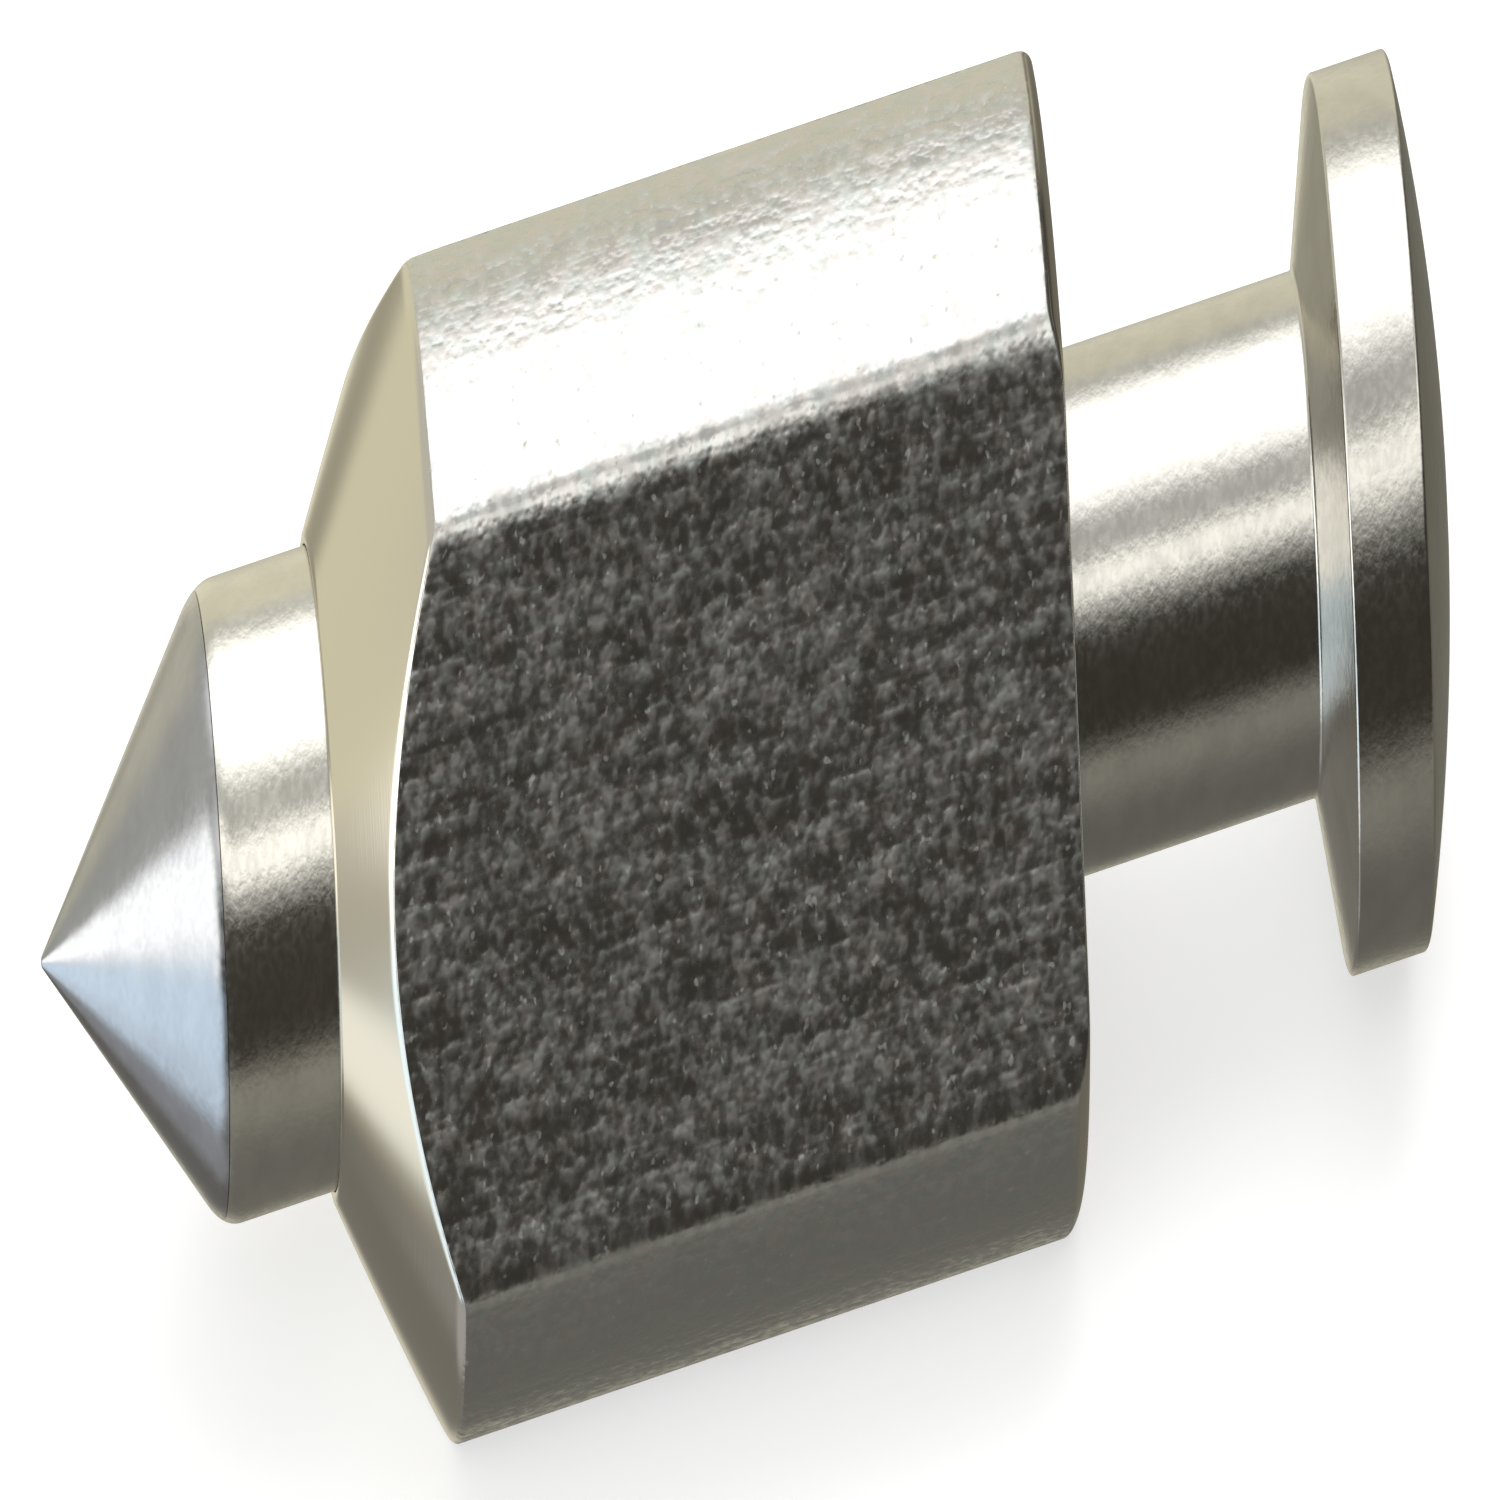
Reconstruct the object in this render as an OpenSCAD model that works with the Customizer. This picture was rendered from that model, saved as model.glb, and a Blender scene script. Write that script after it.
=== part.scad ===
// Revolving (live) center for a lathe or mill fixture.
// The turning axis is X. The point of the center is at the origin and points towards -X.
// The housing is three-sided bar with rounded corners, and lies on one flat, so +Z is up.

/* [Point and nose] */
// Full angle of the point, in degrees
point_angle = 71; // [60:1:80]
// Diameter of the small flat that ends the point
point_flat_d = 0.3; // [0.1:0.1:1]
// Diameter of the turning nose
nose_d = 19.6; // [19:0.1:20.2]
// Length of nose in front of the housing
nose_len = 8.9; // [4:0.1:20]
// Diameter of the stem that holds the point in the spindle
stem_d = 8; // [5:0.5:9]
// Length of that stem
stem_len = 9; // [5:0.5:12]

/* [Housing] */
// Diameter over the three rounded corners
corner_d = 37.2; // [36:0.1:42]
// Distance from the axis to each flat
flat_distance = 14.3; // [14:0.1:16]
// Length of the housing
housing_len = 59.2; // [59.2:0.1:75]
// Angle of the conical shoulder, in degrees from the axis
shoulder_angle = 45; // [40:1:55]
// Radius of the shoulder's slight crown
shoulder_crown_r = 200; // [150:10:400]
// Width of the ring-shaped front face round the nose
lip_width = 0.25; // [0.2:0.05:0.6]
// Radius of the turned edge at the rear
rear_edge_r = 1.6; // [0.5:0.1:2.5]

/* [Pull stud] */
// Diameter of the neck
neck_d = 16; // [14:0.5:18]
// Length of the neck between the housing and the button
neck_len = 20.3; // [10:0.5:40]
// Diameter of the button
button_d = 27.4; // [22:0.1:28.4]
// Length of the sloping underside of the button
button_slope_len = 2; // [1:0.05:5]
// Length of the button's straight rim
button_rim_len = 6.15; // [3:0.05:12]
// Height of the button's domed end
button_dome_h = 3.1; // [1:0.1:5]
// Width across flats of the key socket
socket_af = 8; // [5:1:10]
// Depth of the key socket
socket_depth = 6; // [3:0.5:10]
// Thread diameter of the stud's root
stud_thread_d = 12; // [8:1:12]

/* [Bearings] */
// Bore of the housing, which is the outer diameter of the front bearing
bore_d = 24; // [24:0.1:24.4]
// Number of balls in the front bearing
front_balls = 11; // [7:1:13]
// Number of balls in the thrust bearing
thrust_balls_n = 9; // [6:1:10]
// Number of balls in the rear bearing
rear_balls = 11; // [7:1:12]

/* [Fits] */
// Radial gap between the nose and the housing
nose_gap = 0.15; // [0.1:0.01:0.2]
// Gap round each ball in its groove
groove_gap = 0.03; // [0.02:0.01:0.06]
// Gap round each ball in its cage pocket
pocket_gap = 0.1; // [0.05:0.01:0.2]
// Small chamfer on turned edges
edge_break = 0.3; // [0.1:0.05:0.5]

/* [Hidden] */
$fn = 96;

// Outside stations along X, from the point backwards
nose_r = nose_d / 2;
cone_end = nose_r / tan(point_angle / 2);
housing_front = cone_end + nose_len;
housing_rear = housing_front + housing_len;
neck_end = housing_rear + neck_len;
rim_start = neck_end + button_slope_len;
rim_end = rim_start + button_rim_len;
dome_end = rim_end + button_dome_h;

// Radii of the housing
corner_r = corner_d / 2;
lip_bore_r = nose_r + nose_gap;
lip_r = lip_bore_r + lip_width;
bore_r = bore_d / 2;
shoulder_end = housing_front + (corner_r - lip_r) / tan(shoulder_angle);
flat_angles = [-90, 30, 150];

// Front seal
seal_bore_r = 11;
seal_journal_r = 8;
seal_gap = 0.05;
seal_start = housing_front + 3.5;
seal_len = 2.4;
nose_back = seal_start - 0.4;

// Front bearing, 12 x 24 x 6
front_start = seal_start + seal_len;
front_len = 6;
front_end = front_start + front_len;
front_mid = front_start + front_len / 2;
front_bore_r = 6;
front_inner_r = 7.9;
front_outer_r = 10.1;
front_pitch_r = 9;
front_ball_r = 1.75;

// Snap rings behind the front bearing
spindle_ring_thick = 1;
spindle_ring_groove_r = 5.7;
spindle_ring_r = 7.3;
housing_ring_thick = 1.2;
housing_ring_groove_r = bore_r + 0.6;
housing_ring_r = bore_r - 1.4;
ear_r = 1.15;
ear_hole_r = 0.55;
ring_opening = 50;

// Thrust bearing, 10 x 24 x 9
thrust_start = front_end + 4;
washer_thick = 2.6;
thrust_len = 9;
thrust_end = thrust_start + thrust_len;
thrust_mid = thrust_start + thrust_len / 2;
thrust_bore_r = 5;
thrust_clear_bore_r = 5.5;
thrust_shaft_washer_r = bore_r - 0.3;
thrust_pitch_r = 8.6;
thrust_ball_r = 2.38;
thrust_cage_inner_r = 5.9;
thrust_cage_outer_r = 11.2;
thrust_cage_thick = 2;

// Disc springs, one against the other
spring_inner_r = 6.2;
spring_outer_r = 11.6;
spring_thick = 0.9;
spring_rise = 0.5;
spring_len = spring_thick + spring_rise;
springs_mid = thrust_end + spring_len;
springs_end = springs_mid + spring_len;

// Spacer sleeve between the springs and the rear plug
sleeve_inner_r = 10.2;
sleeve_end = springs_end + 8;

// Rear bearing, 8 x 16 x 5
plug_front = sleeve_end;
rear_start = plug_front + 0.2;
rear_len = 5;
rear_end = rear_start + rear_len;
rear_mid = rear_start + rear_len / 2;
rear_bore_r = 4;
rear_outside_r = 8;
rear_inner_r = 5.2;
rear_outer_r = 6.8;
rear_pitch_r = 6;
rear_ball_r = 1.19;

// Nut and tab washer on the spindle's threaded tail
tab_thick = 0.6;
tab_r = 6.2;
nut_start = rear_end + tab_thick;
nut_len = 4;
nut_end = nut_start + nut_len;
nut_r = 6.5;
nut_slot_w = 1.8;
nut_slot_depth = 1.3;
nut_slots = 4;
tail_end = nut_end + 0.8;

// Rear plug
nut_room_r = 7.3;
nut_room_end = tail_end + 0.8;
stud_hole_start = nut_room_end + 1.6;
stud_root_start = stud_hole_start + 0.4;
stud_thread_r = stud_thread_d / 2;
ring_cord_r = 0.75;
ring_groove_x = housing_rear - 4;
ring_groove_w = 2;
ring_pitch_r = bore_r - ring_cord_r;
spanner_hole_r = 1.25;
spanner_hole_depth = 3;
spanner_circle_r = (neck_d / 2 + bore_r) / 2;

// Revolves a flat outline about X; the outline's own x is the radius and its y runs along X
module revolved() {
    rotate([0, 90, 0]) rotate_extrude() children();
}

// A solid of revolution about X; each point is [radius, x]
module turned(points) {
    revolved() polygon(points);
}

// A plain ring about X
module ring(inner_r, outer_r, from, to) {
    turned([[inner_r, from], [outer_r, from], [outer_r, to], [inner_r, to]]);
}

// A plain round bar along X
module bar(r, from, to) {
    translate([from, 0, 0]) rotate([0, 90, 0]) cylinder(r = r, h = to - from);
}

// A ball track about X, with a round section
module track(pitch_r, section_r, mid) {
    revolved() translate([pitch_r, mid]) circle(r = section_r, $fn = 48);
}

// Places its children round the X axis at one radius
module around(count, pitch_r, mid) {
    for (i = [0:count - 1])
        rotate([i * 360 / count, 0, 0]) translate([mid, 0, pitch_r]) children();
}

module balls(count, pitch_r, mid, r) {
    around(count, pitch_r, mid) sphere(r = r);
}

// Cage of a radial bearing: a ring with a round pocket for each ball
module radial_cage(count, pitch_r, mid, ball_r, wall, half_len) {
    difference() {
        ring(pitch_r - wall / 2, pitch_r + wall / 2, mid - half_len, mid + half_len);
        balls(count, pitch_r, mid, ball_r + pocket_gap);
    }
}

module bearing_ring(inner_r, outer_r, from, to, pitch_r, ball_r) {
    difference() {
        ring(inner_r, outer_r, from, to);
        track(pitch_r, ball_r + groove_gap, (from + to) / 2);
    }
}

// A snap ring with its opening at the top and an eye at each end
module snap_ring(inner_r, outer_r, ear_pitch_r, from, thick) {
    ear_angle = ring_opening / 2 + 8;
    difference() {
        union() {
            difference() {
                ring(inner_r, outer_r, from, from + thick);
                translate([from - 1, 0, 0]) rotate([90, 0, 90])
                    linear_extrude(thick + 2) polygon([
                        [0, 0],
                        [-2 * outer_r * tan(ring_opening / 2), 2 * outer_r],
                        [2 * outer_r * tan(ring_opening / 2), 2 * outer_r]
                    ]);
            }
            snap_ring_eyes(ear_angle, ear_pitch_r, ear_r, from, thick);
        }
        snap_ring_eyes(ear_angle, ear_pitch_r, ear_hole_r, from - 1, thick + 2);
    }
}

module snap_ring_eyes(angle, pitch_r, r, from, thick) {
    for (side = [-1, 1])
        rotate([side * angle, 0, 0]) translate([0, 0, pitch_r]) bar(r, from, from + thick);
}

// Three-sided bar stock, long enough to cut the turned housing to shape
module three_flats() {
    side = 2 * flat_distance;
    rotate([0, 90, 0]) linear_extrude(housing_rear + 10) polygon([
        for (a = flat_angles) [-side * sin(a + 60), -side * cos(a + 60)]
    ]);
}

module point_tip() {
    color("#b9c0c6") turned([
        [0, point_flat_d / 2 / tan(point_angle / 2)],
        [point_flat_d / 2, point_flat_d / 2 / tan(point_angle / 2)],
        [nose_r - edge_break / 2, cone_end - edge_break / 2 / tan(point_angle / 2)],
        [nose_r - edge_break / 2, cone_end],
        [stem_d / 2, cone_end],
        [stem_d / 2, cone_end + stem_len - edge_break],
        [stem_d / 2 - edge_break, cone_end + stem_len],
        [0, cone_end + stem_len]
    ]);
}

module spindle() {
    color("#a9a79f") difference() {
        turned([
            [0, cone_end],
            [nose_r - edge_break / 2, cone_end],
            [nose_r, cone_end + edge_break / 2],
            [nose_r, nose_back],
            [seal_journal_r, nose_back],
            [seal_journal_r, front_start],
            [front_bore_r, front_start],
            [front_bore_r, front_end],
            [spindle_ring_groove_r, front_end],
            [spindle_ring_groove_r, front_end + spindle_ring_thick],
            [front_bore_r, front_end + spindle_ring_thick],
            [front_bore_r, thrust_start],
            [thrust_bore_r, thrust_start],
            [thrust_bore_r, rear_start],
            [rear_bore_r, rear_start],
            [rear_bore_r, tail_end - edge_break],
            [rear_bore_r - edge_break, tail_end],
            [0, tail_end]
        ]);
        bar(stem_d / 2, cone_end - 1, cone_end + stem_len + 0.5);
    }
}

module front_seal() {
    lip_r = seal_journal_r + seal_gap;
    color("#26282a") turned([
        [lip_r + 0.9, seal_start],
        [seal_bore_r, seal_start],
        [seal_bore_r, front_start],
        [lip_r + 2, front_start],
        [lip_r + 2, seal_start + 0.9],
        [lip_r + 1, seal_start + 0.9],
        [lip_r, front_start - 0.6],
        [lip_r, front_start - 0.9]
    ]);
}

// The turned outside of the housing: slightly crowned shoulder, corners and a rounded rear edge
module housing_outline() {
    edge_x = housing_rear - rear_edge_r;
    edge_r = corner_r - rear_edge_r;
    chord = [corner_r - lip_r, shoulder_end - housing_front];
    half_chord = norm(chord) / 2;
    inward = [-chord.y, chord.x] / norm(chord);
    crown_centre = [lip_r, housing_front] + chord / 2
        + inward * sqrt(pow(shoulder_crown_r, 2) - pow(half_chord, 2));
    intersection() {
        polygon([
            [0, housing_front],
            [lip_r + 2, housing_front],
            [corner_r, shoulder_end - 2],
            [corner_r, edge_x],
            [edge_r, edge_x],
            [edge_r, housing_rear],
            [0, housing_rear]
        ]);
        translate(crown_centre) circle(r = shoulder_crown_r, $fn = 720);
    }
    translate([edge_r, edge_x]) circle(r = rear_edge_r);
}

module housing() {
    color("#8f8d86") difference() {
        intersection() {
            revolved() housing_outline();
            three_flats();
        }
        bar(lip_bore_r, housing_front - 1, housing_rear + 1);
        bar(seal_bore_r, seal_start, housing_rear + 1);
        bar(bore_r, front_start, housing_rear + 1);
        bar(housing_ring_groove_r, front_end, front_end + housing_ring_thick);
    }
}

module front_bearing_inner_ring() {
    color("#c3c4c6") bearing_ring(
        front_bore_r, front_inner_r, front_start, front_end, front_pitch_r, front_ball_r);
}

module front_bearing_outer_ring() {
    color("#c3c4c6") bearing_ring(
        front_outer_r, bore_r, front_start, front_end, front_pitch_r, front_ball_r);
}

module front_bearing_balls() {
    color("#d9dcdf") balls(front_balls, front_pitch_r, front_mid, front_ball_r);
}

module front_bearing_cage() {
    color("#b39a5b") radial_cage(front_balls, front_pitch_r, front_mid, front_ball_r, 1.1, 2.2);
}

module spindle_snap_ring() {
    color("#4b4d50") snap_ring(
        spindle_ring_groove_r, spindle_ring_r, spindle_ring_r + 0.1, front_end, spindle_ring_thick);
}

module housing_snap_ring() {
    color("#4b4d50") snap_ring(
        housing_ring_r, housing_ring_groove_r, housing_ring_r - 0.1, front_end, housing_ring_thick);
}

module thrust_shaft_washer() {
    color("#c3c4c6") difference() {
        ring(thrust_bore_r, thrust_shaft_washer_r, thrust_start, thrust_start + washer_thick);
        track(thrust_pitch_r, thrust_ball_r + groove_gap, thrust_mid);
    }
}

module thrust_housing_washer() {
    color("#c3c4c6") difference() {
        ring(thrust_clear_bore_r, bore_r, thrust_end - washer_thick, thrust_end);
        track(thrust_pitch_r, thrust_ball_r + groove_gap, thrust_mid);
    }
}

module thrust_balls() {
    color("#d9dcdf") balls(thrust_balls_n, thrust_pitch_r, thrust_mid, thrust_ball_r);
}

module thrust_cage() {
    color("#b39a5b") difference() {
        ring(thrust_cage_inner_r, thrust_cage_outer_r,
            thrust_mid - thrust_cage_thick / 2, thrust_mid + thrust_cage_thick / 2);
        balls(thrust_balls_n, thrust_pitch_r, thrust_mid, thrust_ball_r + pocket_gap);
    }
}

module disc_spring_front() {
    color("#5d6064") turned([
        [spring_outer_r, thrust_end],
        [spring_outer_r, thrust_end + spring_thick],
        [spring_inner_r, springs_mid],
        [spring_inner_r, springs_mid - spring_thick]
    ]);
}

module disc_spring_rear() {
    color("#5d6064") turned([
        [spring_inner_r, springs_mid],
        [spring_inner_r, springs_mid + spring_thick],
        [spring_outer_r, springs_end],
        [spring_outer_r, springs_end - spring_thick]
    ]);
}

module spacer_sleeve() {
    color("#9a9ca0") ring(sleeve_inner_r, bore_r, springs_end, sleeve_end);
}

module rear_bearing_inner_ring() {
    color("#c3c4c6") bearing_ring(
        rear_bore_r, rear_inner_r, rear_start, rear_end, rear_pitch_r, rear_ball_r);
}

module rear_bearing_outer_ring() {
    color("#c3c4c6") bearing_ring(
        rear_outer_r, rear_outside_r, rear_start, rear_end, rear_pitch_r, rear_ball_r);
}

module rear_bearing_balls() {
    color("#d9dcdf") balls(rear_balls, rear_pitch_r, rear_mid, rear_ball_r);
}

module rear_bearing_cage() {
    color("#b39a5b") radial_cage(rear_balls, rear_pitch_r, rear_mid, rear_ball_r, 0.8, 1.6);
}

// A thin washer whose one tab is bent back into a slot of the nut
module tab_washer() {
    tab_w = nut_slot_w - 0.3;
    color("#7d8084") union() {
        ring(rear_bore_r, tab_r, rear_end, nut_start);
        translate([rear_end, -tab_w / 2, nut_r - nut_slot_depth + 0.1])
            cube([tab_thick + 2.4, tab_w, tab_thick]);
    }
}

module lock_nut() {
    color("#55575a") difference() {
        ring(rear_bore_r, nut_r, nut_start, nut_end);
        for (i = [0:nut_slots - 1])
            rotate([i * 360 / nut_slots, 0, 0])
                translate([nut_start - 1, -nut_slot_w / 2, nut_r - nut_slot_depth])
                    cube([nut_len + 2, nut_slot_w, nut_slot_depth + 1]);
    }
}

module rear_plug() {
    color("#85837d") difference() {
        turned([
            [rear_outside_r, plug_front],
            [bore_r - edge_break, plug_front],
            [bore_r, plug_front + edge_break],
            [bore_r, ring_groove_x - ring_groove_w / 2],
            [bore_r - 2 * ring_cord_r, ring_groove_x - ring_groove_w / 2],
            [bore_r - 2 * ring_cord_r, ring_groove_x + ring_groove_w / 2],
            [bore_r, ring_groove_x + ring_groove_w / 2],
            [bore_r, housing_rear - edge_break],
            [bore_r - edge_break, housing_rear],
            [stud_thread_r, housing_rear],
            [stud_thread_r, stud_hole_start],
            [0, stud_hole_start],
            [0, nut_room_end],
            [nut_room_r, nut_room_end],
            [nut_room_r, rear_end],
            [rear_outside_r, rear_end]
        ]);
        for (side = [-1, 1])
            translate([0, side * spanner_circle_r, 0])
                bar(spanner_hole_r, housing_rear - spanner_hole_depth, housing_rear + 1);
    }
}

module plug_o_ring() {
    color("#1f2022") track(ring_pitch_r, ring_cord_r, ring_groove_x);
}

// Half outline of the stud: threaded root, neck, sloping underside, rim and domed end
module stud_outline() {
    button_r = button_d / 2;
    neck_r = neck_d / 2;
    slope_break = edge_break * button_slope_len / (button_r - neck_r);
    dome_r = (pow(button_r, 2) + pow(button_dome_h, 2)) / (2 * button_dome_h);
    intersection() {
        polygon([
            [0, stud_root_start],
            [stud_thread_r - edge_break, stud_root_start],
            [stud_thread_r, stud_root_start + edge_break],
            [stud_thread_r, housing_rear],
            [neck_r, housing_rear],
            [neck_r, neck_end],
            [button_r - edge_break, rim_start - slope_break],
            [button_r, rim_start + edge_break],
            [button_r, dome_end],
            [0, dome_end]
        ]);
        translate([0, dome_end - 2 * dome_r]) square([dome_r, 2 * dome_r]);
        translate([0, dome_end - dome_r]) circle(r = dome_r);
    }
}

module pull_stud() {
    color("#98968f") difference() {
        revolved() stud_outline();
        translate([dome_end - socket_depth, 0, 0]) rotate([0, 90, 0])
            cylinder(r = socket_af / sqrt(3), h = socket_depth + 1, $fn = 6);
    }
}

point_tip();
spindle();
front_seal();
housing();
front_bearing_inner_ring();
front_bearing_outer_ring();
front_bearing_balls();
front_bearing_cage();
spindle_snap_ring();
housing_snap_ring();
thrust_shaft_washer();
thrust_housing_washer();
thrust_balls();
thrust_cage();
disc_spring_front();
disc_spring_rear();
spacer_sleeve();
rear_bearing_inner_ring();
rear_bearing_outer_ring();
rear_bearing_balls();
rear_bearing_cage();
tab_washer();
lock_nut();
rear_plug();
plug_o_ring();
pull_stud();
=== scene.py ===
import math

import bmesh
import bpy
import numpy as np
from mathutils import Matrix, Vector


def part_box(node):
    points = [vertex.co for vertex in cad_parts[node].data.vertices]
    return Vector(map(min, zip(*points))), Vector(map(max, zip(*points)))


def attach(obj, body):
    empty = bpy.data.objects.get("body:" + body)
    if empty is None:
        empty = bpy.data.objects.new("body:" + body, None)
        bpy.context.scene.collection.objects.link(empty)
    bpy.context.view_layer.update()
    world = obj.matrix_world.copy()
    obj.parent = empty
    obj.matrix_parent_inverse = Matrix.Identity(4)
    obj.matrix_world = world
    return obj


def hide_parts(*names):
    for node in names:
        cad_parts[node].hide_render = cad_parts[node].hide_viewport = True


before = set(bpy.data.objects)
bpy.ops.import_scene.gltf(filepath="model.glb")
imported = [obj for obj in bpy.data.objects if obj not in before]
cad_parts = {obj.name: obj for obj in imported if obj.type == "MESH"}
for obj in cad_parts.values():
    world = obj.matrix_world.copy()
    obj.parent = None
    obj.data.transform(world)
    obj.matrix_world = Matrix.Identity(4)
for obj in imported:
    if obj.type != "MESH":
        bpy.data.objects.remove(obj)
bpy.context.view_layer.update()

# ---------------------------------------------------------------- sizes, in metres
MM = 0.001
SEGMENTS = 540  # points round each turned piece, a multiple of 6 for the key socket
FILLET_STEPS = 6
MERGE_DISTANCE = 1e-7
SHARP_ANGLE = math.radians(40)

# Stations and radii that the frame gives
TIP_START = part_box("point_tip")[0].x
TIP_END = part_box("point_tip")[1].x
CONE_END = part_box("spindle")[0].x
SPINDLE_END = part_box("spindle")[1].x
NOSE_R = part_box("spindle")[1].z
HOUSING_FRONT, HOUSING_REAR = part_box("housing")[0].x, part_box("housing")[1].x
CORNER_R, FLAT_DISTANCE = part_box("housing")[1].z, -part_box("housing")[0].z
STUD_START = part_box("pull_stud")[0].x
BUTTON_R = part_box("pull_stud")[1].z
BORE_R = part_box("rear_plug")[1].z
SEAL_START, FRONT_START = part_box("front_seal")[0].x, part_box("front_seal")[1].x
FRONT_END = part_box("front_bearing_inner_ring")[1].x
THRUST_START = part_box("thrust_shaft_washer")[0].x
REAR_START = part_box("rear_bearing_inner_ring")[0].x

# Sizes that only the design states
POINT_FLAT_R = 0.15 * MM
CONE_ANGLE = math.radians(35.5)  # from the axis
NOSE_EDGE_LEN = 1.4 * MM  # rounder than the CAD's 0.3 mm chamfer, as the photograph shows
SEAM = 0.04 * MM
STEM_R = 4 * MM
EDGE_BREAK = 0.3 * MM
LIP_GAP, LIP_OUTSET = 0.04 * MM, 0.4 * MM  # the CAD's working gap is 0.15 mm; this one is for looks
LIP_BORE_R, LIP_R = NOSE_R + LIP_GAP, NOSE_R + LIP_OUTSET
SHOULDER_CROWN_R = 200 * MM
REAR_EDGE_R = 1.6 * MM
SEAL_BORE_R, SEAL_JOURNAL_R = 11 * MM, 8 * MM
FRONT_BORE_R, THRUST_BORE_R, REAR_BORE_R = 6 * MM, 5 * MM, 4 * MM
NECK_R, NECK_LEN = 8 * MM, 20.3 * MM
SLOPE_LEN, RIM_LEN, DOME_H = 2 * MM, 6.15 * MM, 3.1 * MM
STUD_THREAD_R = 6 * MM
SOCKET_HALF_AF, SOCKET_DEPTH = 4 * MM, 6 * MM
FLAT_ANGLES = [math.radians(a) for a in (-90, 30, 150)]
LIP_BREAK = 0.05 * MM
# How softly the housing's surfaces meet
SHOULDER_BLEND, CONE_EDGE_BLEND, BAR_EDGE_BLEND = 0.5 * MM, 0.32 * MM, 0.45 * MM
TOP_FRONT_BLEND, TOP_BACK_BLEND = 0.55 * MM, 0.15 * MM
TOP_EDGE_HEIGHT = 0.5  # the two top edges lie above this share of the radius
BLEND_LEAD, BLEND_LEN = 0.5 * MM, 3.5 * MM  # where the cone's softness turns into the bar's
REAR_FLAT_BREAK = 0.25 * MM
SHOULDER_OVERRUN, BAR_INSET, REAR_INSET = 1.5 * MM, 3 * MM, 0.5 * MM
SHOULDER_RINGS, BAR_RINGS, REAR_EDGE_RINGS = 105, 20, 29
REAR_FACE_SPLIT_R, BORE_BREAK = 14 * MM, 0.12 * MM
LIP_BORE_BREAK, LIP_FACE_BREAK = 0.04 * MM, 0.08 * MM
# Spindle and point details
TIP_BREAK, NOSE_STEP, STEM_CLEARANCE = 0.08 * MM, 0.3 * MM, 0.5 * MM
POINT_EDGE_STATIONS, NOSE_EDGE_STATIONS = 6, 9
NOSE_BACK_GAP, NOSE_BACK_BREAK = 0.4 * MM, 0.1 * MM
GROOVE_R, GROOVE_WIDTH = 5.7 * MM, 1 * MM
# Stud details
NECK_ROOT_BREAK, NECK_BREAK, SLOPE_BREAK, RIM_BREAK = 0.1 * MM, 0.3 * MM, 0.22 * MM, 0.3 * MM
DOME_START_INSET, DOME_FIRST_SHARE, DOME_RINGS = 1 * MM, 0.06, 14
SOCKET_MOUTH, SOCKET_LIP_DROP = 0.25 * MM, 0.2 * MM
# Depth of relief on the drawn and turned steels
RELIEF = 0.12 * MM

PHI = np.linspace(0, 2 * math.pi, SEGMENTS, endpoint=False)


def direction(azimuth, elevation):
    """Unit vector towards a place round the object; azimuth 0 is towards -Y, 90 towards +X."""
    a, e = math.radians(azimuth), math.radians(elevation)
    return Vector((math.sin(a) * math.cos(e), -math.cos(a) * math.cos(e), math.sin(e)))


# ---------------------------------------------------------------- mesh building
def ring(x, radius):
    """Points round the X axis at one station; radius is a number or one per point."""
    r = np.broadcast_to(np.asarray(radius, float), PHI.shape)
    return np.column_stack([np.full(SEGMENTS, x), r * np.cos(PHI), r * np.sin(PHI)])


def skin(name, rings, closed=False):
    """A mesh piece whose quads join each ring to the next; rings of no radius become poles."""
    count = len(rings)
    index = np.arange(count * SEGMENTS).reshape(count, SEGMENTS)
    a, b = (index, np.roll(index, -1, 0)) if closed else (index[:-1], index[1:])
    faces = np.stack([a, np.roll(a, -1, 1), np.roll(b, -1, 1), b], -1).reshape(-1, 4)
    mesh = bpy.data.meshes.new(name)
    mesh.from_pydata(np.concatenate(rings).tolist(), [], faces.tolist())
    work = bmesh.new()
    work.from_mesh(mesh)
    bmesh.ops.remove_doubles(work, verts=work.verts, dist=MERGE_DISTANCE)
    bmesh.ops.recalc_face_normals(work, faces=work.faces)
    for face in work.faces:
        face.smooth = True
    work.to_mesh(mesh)
    work.free()
    mesh.set_sharp_from_angle(angle=SHARP_ANGLE)
    piece = bpy.data.objects.new(name, mesh)
    bpy.context.scene.collection.objects.link(piece)
    return piece


def rounded(corners):
    """A profile of (x, radius) points from corners of (x, radius, fillet)."""
    out = []
    for i, (x, r, fillet) in enumerate(corners):
        here = Vector((x, r))
        if fillet <= 0 or i in (0, len(corners) - 1):
            out.append((x, r))
            continue
        to_last = (Vector(corners[i - 1][:2]) - here).normalized()
        to_next = (Vector(corners[i + 1][:2]) - here).normalized()
        half = to_last.angle(to_next) / 2
        start, end = here + to_last * fillet, here + to_next * fillet
        centre = here + (to_last + to_next).normalized() * fillet / math.cos(half)
        radius = fillet * math.tan(half)
        for k in range(FILLET_STEPS + 1):
            chord = start.lerp(end, k / FILLET_STEPS)
            point = centre + (chord - centre).normalized() * radius
            out.append((point.x, point.y))
    return out


def turned(name, corners, closed=False):
    """A solid of revolution about X with filleted corners."""
    return skin(name, [ring(x, max(r, 0)) for x, r in rounded(corners)], closed)


def smooth_min(a, b, width):
    """The lower of two heights, blended over a width so that their crossing is a round edge."""
    h = np.clip(width - np.abs(a - b), 0, None) / width
    return np.minimum(a, b) - h * h * width / 4


def flat_limit(inset=0.0):
    """Distance from the axis to the three flats in each direction."""
    facing = np.max([np.cos(PHI - angle) for angle in FLAT_ANGLES], axis=0)
    return (FLAT_DISTANCE - inset) / facing


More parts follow.
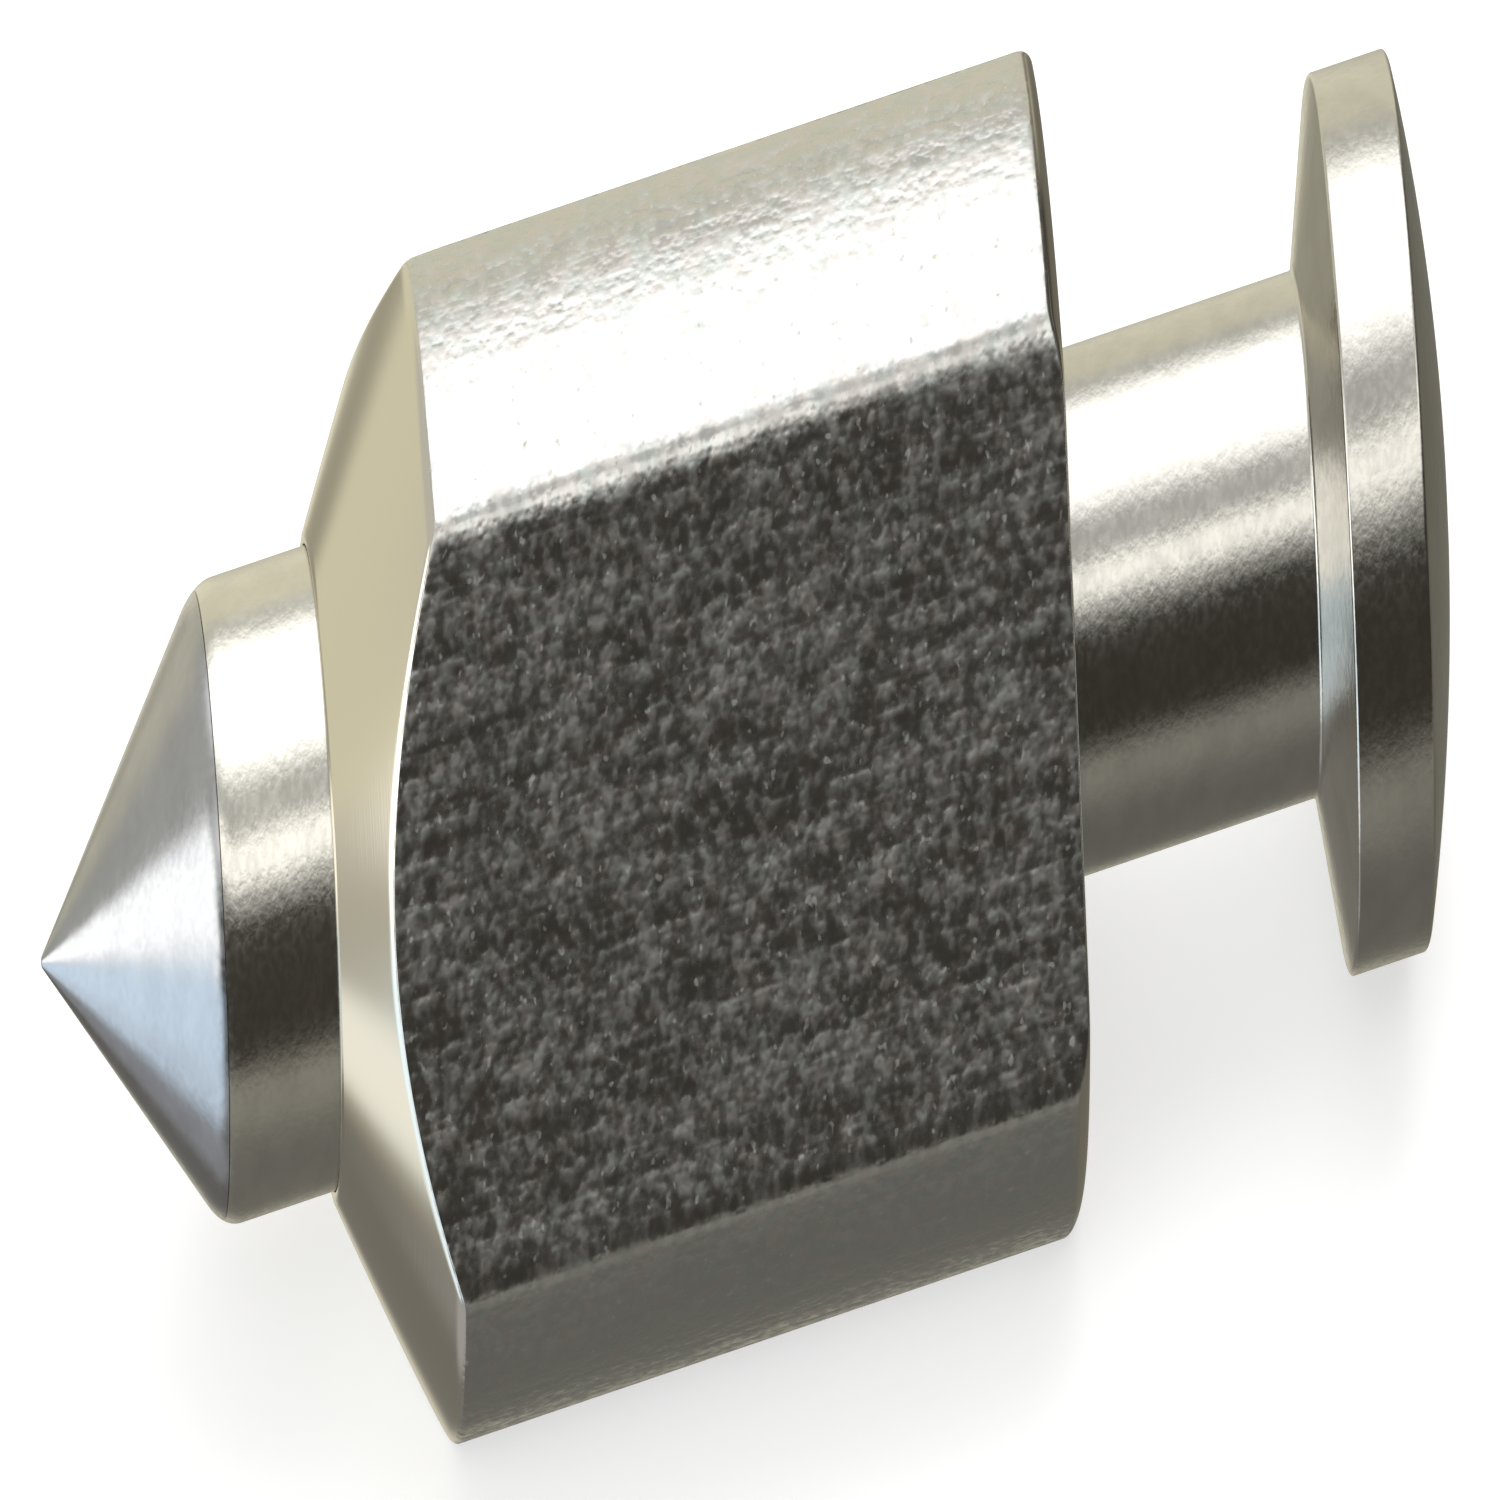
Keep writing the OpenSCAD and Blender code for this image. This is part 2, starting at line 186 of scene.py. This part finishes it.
# ---------------------------------------------------------------- the pieces
def shoulder_radius(x):
    """Radius of the crowned cone that leads from the lip to the corners."""
    height = CORNER_R - LIP_R
    rise = math.sqrt(SHOULDER_CROWN_R**2 - height**2 / 2) / math.sqrt(2)
    centre_x, centre_r = HOUSING_FRONT + height / 2 + rise, LIP_R + height / 2 - rise
    return centre_r + math.sqrt(SHOULDER_CROWN_R**2 - (x - centre_x) ** 2)


def build_housing():
    shoulder_end = HOUSING_FRONT + CORNER_R - LIP_R
    bar_blend = np.where(np.cos(PHI) < 0, TOP_FRONT_BLEND, TOP_BACK_BLEND)
    bar_blend = np.where(np.sin(PHI) > TOP_EDGE_HEIGHT, bar_blend, BAR_EDGE_BLEND)
    edge_x, edge_r = HOUSING_REAR - REAR_EDGE_R, CORNER_R - REAR_EDGE_R
    rings = [ring(HOUSING_FRONT + LIP_BREAK, LIP_R - LIP_BREAK / 3)]
    shoulder_span = HOUSING_FRONT + LIP_BREAK * 2, shoulder_end + SHOULDER_OVERRUN
    for x in np.linspace(*shoulder_span, SHOULDER_RINGS):
        profile = smooth_min(shoulder_radius(x), CORNER_R, SHOULDER_BLEND)
        along = np.clip((x - shoulder_end + BLEND_LEAD) / BLEND_LEN, 0, 1)
        blend = CONE_EDGE_BLEND * (1 - along) + bar_blend * along
        rings.append(ring(x, smooth_min(profile, flat_limit(), blend)))
    for x in np.linspace(shoulder_end + BAR_INSET, edge_x - REAR_INSET, BAR_RINGS):
        rings.append(ring(x, smooth_min(CORNER_R, flat_limit(), bar_blend)))
    for angle in np.linspace(0, math.pi / 2, REAR_EDGE_RINGS):
        x = edge_x + REAR_EDGE_R * math.sin(angle)
        into_edge = max(0.0, x - HOUSING_REAR + REAR_FLAT_BREAK)
        inset = REAR_FLAT_BREAK - math.sqrt(max(0.0, REAR_FLAT_BREAK**2 - into_edge**2))
        profile = edge_r + REAR_EDGE_R * math.cos(angle)
        rings.append(ring(x, smooth_min(profile, flat_limit(inset), bar_blend)))
    bore = rounded([
        (HOUSING_REAR, REAR_FACE_SPLIT_R, 0),
        (HOUSING_REAR, BORE_R, BORE_BREAK),
        (FRONT_START, BORE_R, 0),
        (FRONT_START, SEAL_BORE_R, 0),
        (SEAL_START, SEAL_BORE_R, 0),
        (SEAL_START, LIP_BORE_R, 0),
        (HOUSING_FRONT, LIP_BORE_R, LIP_BORE_BREAK),
        (HOUSING_FRONT, LIP_R - LIP_FACE_BREAK, 0),
    ])
    rings += [ring(x, r) for x, r in bore]
    return skin("housing_shell", rings, closed=True)


def nose_edge(start, end, count):
    """Stations of the round edge that leads from the cone to the nose, from a start to an end."""
    radius = NOSE_EDGE_LEN / math.tan(CONE_ANGLE / 2)
    edge_end = CONE_END + NOSE_EDGE_LEN
    return [(x, NOSE_R - radius + math.sqrt(radius**2 - (edge_end - x) ** 2), 0)
            for x in np.linspace(start, end, count)]


def build_point():
    edge_start = CONE_END - NOSE_EDGE_LEN * math.cos(CONE_ANGLE)
    return turned("center_point", [
        (TIP_START, 0, 0),
        (TIP_START, POINT_FLAT_R, TIP_BREAK),
        *nose_edge(edge_start, CONE_END - SEAM, POINT_EDGE_STATIONS),
        (CONE_END, NOSE_R - NOSE_STEP, 0),
        (CONE_END, STEM_R, 0),
        (TIP_END, STEM_R, EDGE_BREAK),
        (TIP_END, 0, 0),
    ])


def build_spindle():
    bore_end = TIP_END + STEM_CLEARANCE
    nose_back = SEAL_START - NOSE_BACK_GAP
    groove_end = FRONT_END + GROOVE_WIDTH
    return turned("spindle_body", [
        (bore_end, 0, 0),
        (bore_end, STEM_R, 0),
        (CONE_END, STEM_R, 0),
        (CONE_END, NOSE_R - NOSE_STEP, 0),
        *nose_edge(CONE_END + SEAM, CONE_END + NOSE_EDGE_LEN, NOSE_EDGE_STATIONS),
        (nose_back, NOSE_R, NOSE_BACK_BREAK),
        (nose_back, SEAL_JOURNAL_R, 0),
        (FRONT_START, SEAL_JOURNAL_R, 0),
        (FRONT_START, FRONT_BORE_R, 0),
        (FRONT_END, FRONT_BORE_R, 0),
        (FRONT_END, GROOVE_R, 0),
        (groove_end, GROOVE_R, 0),
        (groove_end, FRONT_BORE_R, 0),
        (THRUST_START, FRONT_BORE_R, 0),
        (THRUST_START, THRUST_BORE_R, 0),
        (REAR_START, THRUST_BORE_R, 0),
        (REAR_START, REAR_BORE_R, 0),
        (SPINDLE_END, REAR_BORE_R, EDGE_BREAK),
        (SPINDLE_END, 0, 0),
    ])


def socket_radius():
    """Distance from the axis to the six walls of the key socket."""
    sixth = math.radians(60)
    from_wall = (PHI + sixth / 2) % sixth - sixth / 2
    return SOCKET_HALF_AF / np.cos(from_wall)


def build_stud():
    neck_end = HOUSING_REAR + NECK_LEN
    rim_start = neck_end + SLOPE_LEN
    rim_end = rim_start + RIM_LEN
    dome_end = rim_end + DOME_H
    dome_r = (BUTTON_R**2 + DOME_H**2) / (2 * DOME_H)
    dome_start_r = BUTTON_R - DOME_START_INSET

    def dome_x(radius):
        return dome_end - dome_r + np.sqrt(dome_r**2 - radius**2)

    profile = rounded([
        (STUD_START, 0, 0),
        (STUD_START, STUD_THREAD_R, EDGE_BREAK),
        (HOUSING_REAR, STUD_THREAD_R, 0),
        (HOUSING_REAR, NECK_R, NECK_ROOT_BREAK),
        (neck_end, NECK_R, NECK_BREAK),
        (rim_start, BUTTON_R, SLOPE_BREAK),
        (rim_end, BUTTON_R, RIM_BREAK),
        (float(dome_x(dome_start_r)), dome_start_r, 0),
    ])
    rings = [ring(x, r) for x, r in profile]
    mouth = socket_radius() + SOCKET_MOUTH
    for share in np.linspace(DOME_FIRST_SHARE, 1, DOME_RINGS):
        radius = dome_start_r * (1 - share) + mouth * share
        around = ring(0, radius)
        around[:, 0] = dome_x(radius)
        rings.append(around)
    lip = ring(0, socket_radius())
    lip[:, 0] = dome_x(mouth) - SOCKET_LIP_DROP
    socket_end = dome_end - SOCKET_DEPTH
    rings += [lip, ring(socket_end, socket_radius()), ring(socket_end, 0)]
    return skin("stud_body", rings)


# ---------------------------------------------------------------- materials
class Nodes:
    """A node tree with short calls for the nodes this scene uses."""

    def __init__(self, tree, coordinates):
        self.tree = tree
        self.place = tree.nodes.new("ShaderNodeTexCoord").outputs[coordinates]

    def link(self, value, socket):
        if isinstance(value, bpy.types.NodeSocket):
            self.tree.links.new(value, socket)
        else:
            socket.default_value = value

    def math(self, operation, a, b=0.0, c=0.0):
        made = self.tree.nodes.new("ShaderNodeMath")
        made.operation = operation
        for value, socket in zip((a, b, c), made.inputs):
            self.link(value, socket)
        return made.outputs[0]

    def split(self, vector):
        made = self.tree.nodes.new("ShaderNodeSeparateXYZ")
        self.link(vector, made.inputs[0])
        return made.outputs

    def joined(self, x, y, z):
        made = self.tree.nodes.new("ShaderNodeCombineXYZ")
        for value, socket in zip((x, y, z), made.inputs):
            self.link(value, socket)
        return made.outputs[0]

    def scaled(self, vector, scale):
        made = self.tree.nodes.new("ShaderNodeVectorMath")
        made.operation = "MULTIPLY"
        self.link(vector, made.inputs[0])
        made.inputs[1].default_value = scale
        return made.outputs[0]

    def noise(self, vector, detail=2.0, roughness=0.5):
        made = self.tree.nodes.new("ShaderNodeTexNoise")
        made.inputs["Scale"].default_value = 1.0
        made.inputs["Detail"].default_value = detail
        made.inputs["Roughness"].default_value = roughness
        self.link(vector, made.inputs["Vector"])
        return made.outputs["Fac"]

    def ramp(self, value, low, high, to_low=0.0, to_high=1.0):
        made = self.tree.nodes.new("ShaderNodeMapRange")
        made.interpolation_type = "SMOOTHSTEP"
        self.link(value, made.inputs["Value"])
        limits = {"From Min": low, "From Max": high, "To Min": to_low, "To Max": to_high}
        for name, number in limits.items():
            made.inputs[name].default_value = number
        return made.outputs["Result"]

    def mix(self, share, a, b):
        made = self.tree.nodes.new("ShaderNodeMix")
        made.data_type = "RGBA"
        self.link(share, made.inputs["Factor"])
        for value, name in ((a, "A"), (b, "B")):
            socket = next(s for s in made.inputs if s.name == name and s.type == "RGBA")
            self.link((*value, 1.0) if isinstance(value, tuple) else value, socket)
        return next(s for s in made.outputs if s.type == "RGBA")

    def facing(self, azimuth, elevation, outer, inner):
        """1 within an inner angle of a direction, falling smoothly to 0 at an outer angle."""
        made = self.tree.nodes.new("ShaderNodeVectorMath")
        made.operation = "DOT_PRODUCT"
        self.link(self.place, made.inputs[0])
        made.inputs[1].default_value = direction(azimuth, elevation)
        low, high = (math.cos(math.radians(angle)) for angle in (outer, inner))
        return self.ramp(made.outputs["Value"], low, high)


class Shader(Nodes):
    """A material whose pattern is fixed to its piece."""

    def __init__(self, name):
        self.material = bpy.data.materials.new(name)
        self.material.use_nodes = True
        super().__init__(self.material.node_tree, "Object")
        self.surface = self.tree.nodes["Principled BSDF"]
        self.normal = self.place.node.outputs["Normal"]

    def bump(self, height, distance, strength=1.0):
        made = self.tree.nodes.new("ShaderNodeBump")
        made.inputs["Strength"].default_value = strength
        made.inputs["Distance"].default_value = distance
        self.link(height, made.inputs["Height"])
        self.link(made.outputs["Normal"], self.surface.inputs["Normal"])

    def radius(self):
        """Distance of the shaded point from the turning axis."""
        _, y, z = self.split(self.place)
        squares = self.math("ADD", self.math("MULTIPLY", y, y), self.math("MULTIPLY", z, z))
        return self.math("SQRT", squares)

    def tool_rings(self, pitch):
        """Fine rings of uneven height, as a turning tool leaves them."""
        along = self.split(self.place)[0]
        steps = [self.math("DIVIDE", length, pitch) for length in (along, self.radius())]
        return self.noise(self.joined(*steps, 0.0), detail=3.0)

    def grain(self, along, across, detail=2.0, roughness=0.5):
        """Uneven grain with one size along the axis and another across it."""
        stretched = self.scaled(self.place, (1 / along, 1 / across, 1 / across))
        return self.noise(stretched, detail, roughness)

    def finish(self, colour, roughness, metallic=1.0):
        self.link(colour, self.surface.inputs["Base Color"])
        self.link(roughness, self.surface.inputs["Roughness"])
        self.surface.inputs["Metallic"].default_value = metallic
        return self.material


def drawn_steel():
    """Cold-drawn bar: speckled and streaked along its length, with a turned shoulder."""
    s = Shader("drawn_steel")
    turned_part = s.ramp(s.math("ABSOLUTE", s.split(s.normal)[0]), 0.25, 0.45)
    speckle = s.grain(0.8 * MM, 0.55 * MM, detail=1.3)
    clusters = s.grain(3.2 * MM, 2.2 * MM)
    streaks = s.grain(12 * MM, 0.9 * MM)
    sparks = s.ramp(s.grain(0.62 * MM, 0.42 * MM, detail=1.0), 0.66, 0.76)
    tint = s.grain(1.7 * MM, 0.9 * MM)
    drawn = s.math("ADD", s.math("MULTIPLY", speckle, 0.42), s.math("MULTIPLY", streaks, 0.4))
    rings = s.math("MULTIPLY", s.tool_rings(0.16 * MM), 0.02)
    height = s.math("ADD", s.math("MULTIPLY", drawn, s.math("SUBTRACT", 1.0, turned_part)),
                    s.math("MULTIPLY", rings, turned_part))
    s.bump(height, RELIEF)
    colour = s.mix(s.ramp(tint, 0.35, 0.65), (0.592, 0.570, 0.545), (0.552, 0.570, 0.545))
    colour = s.mix(turned_part, colour, (0.65, 0.615, 0.53))
    bands = s.ramp(streaks, 0.35, 0.6, -0.06, 0.02)
    fine, coarse = s.ramp(speckle, 0.32, 0.74), s.ramp(clusters, 0.35, 0.65, 0.20, 0.27)
    rough = s.math("MULTIPLY_ADD", fine, 0.17, coarse)
    rough = s.math("MULTIPLY_ADD", sparks, 0.22, rough)
    rough = s.math("MULTIPLY", s.math("ADD", rough, bands), s.math("SUBTRACT", 1.0, turned_part))
    rough = s.math("MULTIPLY_ADD", turned_part, 0.15, rough)
    return s.finish(colour, rough)


def turned_steel(name, colour, roughness, ring_height, speckle_height):
    """Machined round steel: fine tool rings, a little speckle and slow changes of tone."""
    s = Shader(name)
    rings = s.tool_rings(0.22 * MM)
    speckle = s.grain(0.45 * MM, 0.36 * MM, detail=2.0)
    height = s.math("ADD", s.math("MULTIPLY", rings, ring_height),
                    s.math("MULTIPLY", speckle, speckle_height))
    s.bump(height, RELIEF)
    tone = s.grain(2.5 * MM, 2.5 * MM, detail=3.0)
    darker = tuple(c * 0.92 for c in colour)
    return s.finish(s.mix(s.ramp(tone, 0.35, 0.65), darker, colour),
                    s.ramp(speckle, 0.35, 0.65, roughness * 0.85, roughness * 1.25))


def hidden_metal(name, colour, roughness):
    """Bought-in inner parts: even tone with a faint ground pattern."""
    s = Shader(name)
    rings = s.tool_rings(0.12 * MM)
    s.bump(rings, 0.004 * MM)
    darker = tuple(c * 0.88 for c in colour)
    return s.finish(s.mix(s.ramp(rings, 0.3, 0.7), darker, colour), roughness)


def rubber():
    s = Shader("nitrile_rubber")
    grain = s.grain(0.15 * MM, 0.15 * MM)
    s.bump(grain, 0.01 * MM)
    return s.finish(s.mix(grain, (0.018, 0.018, 0.02), (0.035, 0.035, 0.038)), 0.62, metallic=0.0)


def give(piece, material):
    piece.data.materials.clear()
    piece.data.materials.append(material)


def dress_inner_nodes():
    """Materials for the CAD nodes that stay as they are."""
    races = hidden_metal("ground_race", (0.66, 0.66, 0.67), 0.16)
    ball = hidden_metal("polished_ball", (0.78, 0.78, 0.80), 0.06)
    brass = hidden_metal("brass_cage", (0.72, 0.55, 0.26), 0.28)
    spring = hidden_metal("phosphated_spring", (0.22, 0.22, 0.23), 0.42)
    black = hidden_metal("black_oxide", (0.07, 0.07, 0.075), 0.38)
    plug = turned_steel("plug_steel", (0.55, 0.53, 0.49), 0.3, 0.06, 0.02)
    sleeve = turned_steel("sleeve_steel", (0.60, 0.58, 0.54), 0.3, 0.06, 0.02)
    seal = rubber()
    finishes = {
        "front_seal": seal, "plug_o_ring": seal, "rear_plug": plug, "spacer_sleeve": sleeve,
        "spindle_snap_ring": spring, "housing_snap_ring": spring, "tab_washer": spring,
        "disc_spring_front": spring, "disc_spring_rear": spring, "lock_nut": black,
        "thrust_shaft_washer": races, "thrust_housing_washer": races,
        "thrust_balls": ball, "thrust_cage": brass,
    }
    for place in ("front", "rear"):
        finishes[f"{place}_bearing_inner_ring"] = races
        finishes[f"{place}_bearing_outer_ring"] = races
        finishes[f"{place}_bearing_balls"] = ball
        finishes[f"{place}_bearing_cage"] = brass
    for node, material in finishes.items():
        give(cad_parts[node], material)


def dress_outer_pieces():
    """The four pieces that show, each in place of its CAD node."""
    pieces = (
        (build_point(), "point_tip", "spindle", "ground_point",
         turned_steel("ground_point_steel", (0.425, 0.43, 0.435), 0.2, 0.01, 0.04)),
        (build_spindle(), "spindle", "spindle", "turned_steel",
         turned_steel("nose_steel", (0.68, 0.66, 0.60), 0.19, 0.02, 0.10)),
        (build_housing(), "housing", "housing", "drawn_steel", drawn_steel()),
        (build_stud(), "pull_stud", "housing", "stud_steel",
         turned_steel("stud_steel", (0.59, 0.575, 0.53), 0.19, 0.02, 0.10)),
    )
    for piece, node, body, slot, material in pieces:
        give(piece, material)
        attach(piece, body)
        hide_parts(node)


# ---------------------------------------------------------------- floor, light and camera
FLOOR_Z = -FLAT_DISTANCE
FLOOR_HALF = 3.0
FLOOR_TONE, FLOOR_GLOW, FLOOR_ROUGHNESS = 0.60, 0.6, 0.9
SUBJECT = Vector((56 * MM, 0, 0))


def make_floor():
    mesh = bpy.data.meshes.new("floor")
    signs = ((-1, -1), (1, -1), (1, 1), (-1, 1))
    corners = [(x * FLOOR_HALF, y * FLOOR_HALF, FLOOR_Z) for x, y in signs]
    mesh.from_pydata(corners, [], [(0, 1, 2, 3)])
    floor = bpy.data.objects.new("floor", mesh)
    bpy.context.scene.collection.objects.link(floor)
    s = Shader("floor_paper")
    s.surface.inputs["Emission Color"].default_value = (1.0, 1.0, 1.0, 1.0)
    s.surface.inputs["Emission Strength"].default_value = FLOOR_GLOW
    give(floor, s.finish((FLOOR_TONE, FLOOR_TONE, FLOOR_TONE, 1.0), FLOOR_ROUGHNESS, metallic=0.0))
    floor.visible_glossy = False  # the metal reflects the world's lower patches instead


def sine(degrees):
    return math.sin(math.radians(degrees))


# The studio is fitted to the photograph: its patches give the steel the reflections seen there.
# Each round patch: azimuth, elevation, outer angle, inner angle, colour. Later ones lie on top.
DARK_PATCHES = (
    (115, -30, 58, 35, (0.20, 0.19, 0.16)),
    (-125, -52, 36, 20, (0.23, 0.22, 0.20)),
    (-150, -24, 25, 12, (0.43, 0.41, 0.33)),
)
LIGHT_PATCHES = (
    (173, 66, 38, 17, (2.3, 2.3, 2.3)),
    (-85, -9, 23, 10, (0.60, 0.58, 0.51)),
    (-70, -62, 18, 6, (0.50, 0.50, 0.52)),
    (-57, -31, 24, 8, (1.20, 1.40, 1.62)),
    (-54, -10, 24, 11, (1.35, 1.60, 1.85)),
    (-79, -29, 14, 4, (1.30, 1.30, 1.25)),
    (-71, 22, 24, 12, (2.6, 2.6, 2.6)),
    (-54, 14, 14, 6, (2.4, 2.4, 2.4)),
)
BACK_SIDE = (-145, 0, 84, 60)
STRIP_PLACE, STRIP_RISE, STRIP_FALL = (5, 40, 60, 40), (38.5, 49.5), (64, 56)
STRIP_COLOUR = (1.75, 1.73, 1.68)


def make_world():
    """A world that the metal reflects as patches and bands, and the camera sees as plain white."""
    world = bpy.data.worlds.new("studio")
    bpy.context.scene.world = world
    world.use_nodes = True
    tree = world.node_tree
    tree.nodes.clear()
    w = Nodes(tree, "Generated")
    height = w.split(w.place)[2]

    def between(low, high, a, b):
        """Colour a below one elevation, b above another."""
        return w.mix(w.ramp(height, sine(low), sine(high)), a, b)

    def add(kind):
        return tree.nodes.new(kind)

    table = between(-75, -38, (0.185, 0.18, 0.165), (0.32, 0.31, 0.28))
    front = between(-34, -16, table, (0.055, 0.050, 0.042))
    front = between(27, 45, front, (0.60, 0.60, 0.58))
    back = between(-80, -55, (0.24, 0.23, 0.21), (0.90, 0.86, 0.69))
    back = between(15, 26, back, (0.70, 0.69, 0.65))
    sky = w.mix(w.facing(*BACK_SIDE), front, back)
    for *place, colour in DARK_PATCHES:
        sky = w.mix(w.facing(*place), sky, colour)
    rise, fall = (w.ramp(height, sine(low), sine(high)) for low, high in (STRIP_RISE, STRIP_FALL))
    strip = w.math("MULTIPLY", w.math("MULTIPLY", rise, fall), w.facing(*STRIP_PLACE))
    sky = w.mix(strip, sky, STRIP_COLOUR)
    for *place, colour in LIGHT_PATCHES:
        sky = w.mix(w.facing(*place), sky, colour)

    studio, backdrop = add("ShaderNodeBackground"), add("ShaderNodeBackground")
    choose = add("ShaderNodeMixShader")
    w.link(sky, studio.inputs["Color"])
    backdrop.inputs["Color"].default_value = (1.0, 1.0, 1.0, 1.0)
    w.link(add("ShaderNodeLightPath").outputs["Is Camera Ray"], choose.inputs[0])
    w.link(studio.outputs[0], choose.inputs[1])
    w.link(backdrop.outputs[0], choose.inputs[2])
    w.link(choose.outputs[0], add("ShaderNodeOutputWorld").inputs["Surface"])


CAMERA_AZIMUTH, CAMERA_ELEVATION, CAMERA_ROLL = -9.05, 41.06, -1.35
CAMERA_DISTANCE, CLIP_START, CLIP_END = 1.0, 0.1, 20.0
FRAME_WIDTH = 119.2 * MM
AIM_RIGHT, AIM_UP = 1.38 * MM, -0.67 * MM
PICTURE_STRETCH = 2.642  # the photograph is this much taller than the view it shows


def make_camera():
    """A parallel view whose upright axis leans along it, which stretches the picture.

    The photograph is stretched so. The object isn't, and views without the holder show it true.
    """
    back = direction(CAMERA_AZIMUTH, CAMERA_ELEVATION)
    level = Vector((0, 0, 1)).cross(back).normalized()
    upright = back.cross(level)
    roll = math.radians(CAMERA_ROLL)
    right = level * math.cos(roll) + upright * math.sin(roll)
    up = upright * math.cos(roll) - level * math.sin(roll)
    lean = math.acos(1 / PICTURE_STRETCH)
    leaning_up = up * math.cos(lean) + back * math.sin(lean)
    place = SUBJECT + right * AIM_RIGHT + up * AIM_UP + back * CAMERA_DISTANCE
    holder = bpy.data.objects.new("camera_holder", None)
    data = bpy.data.cameras.new("camera")
    data.type = "ORTHO"
    data.ortho_scale = FRAME_WIDTH
    data.clip_start, data.clip_end = CLIP_START, CLIP_END
    camera = bpy.data.objects.new("camera", data)
    for made in (holder, camera):
        bpy.context.scene.collection.objects.link(made)
    camera.parent = holder
    camera.matrix_parent_inverse = Matrix((
        (right.x, leaning_up.x, back.x, place.x),
        (right.y, leaning_up.y, back.y, place.y),
        (right.z, leaning_up.z, back.z, place.z),
        (0, 0, 0, 1),
    ))
    bpy.context.scene.camera = camera


make_camera()
dress_inner_nodes()
dress_outer_pieces()
make_floor()
make_world()
bpy.context.scene.view_settings.view_transform = "Standard"
